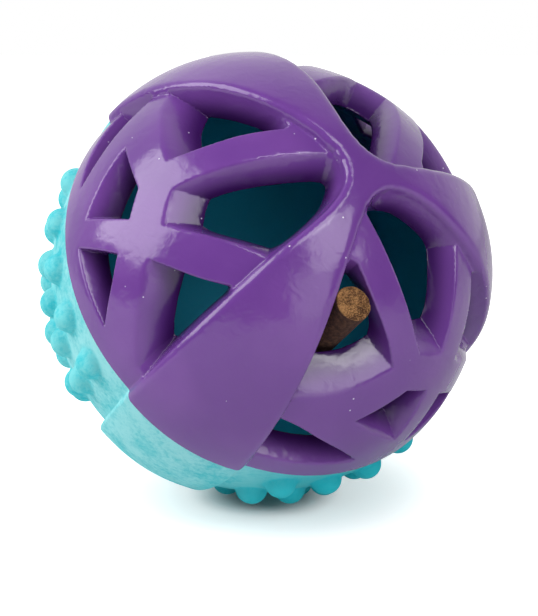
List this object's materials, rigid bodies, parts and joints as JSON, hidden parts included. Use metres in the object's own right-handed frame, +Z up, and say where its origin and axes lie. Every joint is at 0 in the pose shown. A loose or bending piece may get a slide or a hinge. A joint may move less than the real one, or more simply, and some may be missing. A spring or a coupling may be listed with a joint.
{
  "type": "treat dispensing ball",
  "caption": "Hollow rubber treat dispensing ball: purple open lattice half with raised petals, teal half with nubs, chew stick in one opening.",
  "frame": {"origin": "centre of the ball", "axes": "+Z up as the ball rests on a floor in the pictured pose, -Y towards the picture's camera; the pole axis of the lattice half leans 51.2 degrees from +Z towards +X and -Y"},
  "size_m": [0.0993, 0.0994, 0.0992],
  "materials": {
    "purple_rubber": "glossy moulded thermoplastic rubber",
    "teal_rubber": "matt, slightly powdery soft rubber",
    "baked_treat": "rough baked crumb"
  },
  "bodies": {
    "soft_half": {"nub_half": "teal_rubber"},
    "hard_half": {"lattice_half": "purple_rubber"},
    "treat": {"treat_stick": "baked_treat"}
  },
  "joints": [
    {"name": "plug_pull", "type": "slide", "parent": "soft_half", "child": "hard_half", "axis": [0.429, -0.6506, 0.6266], "range_m": [0, 0.03]},
    {"name": "stick_slide", "type": "slide", "parent": "hard_half", "child": "treat", "axis": [0.429, -0.6506, 0.6266], "range_m": [-0.038, 0.018]}
  ]
}
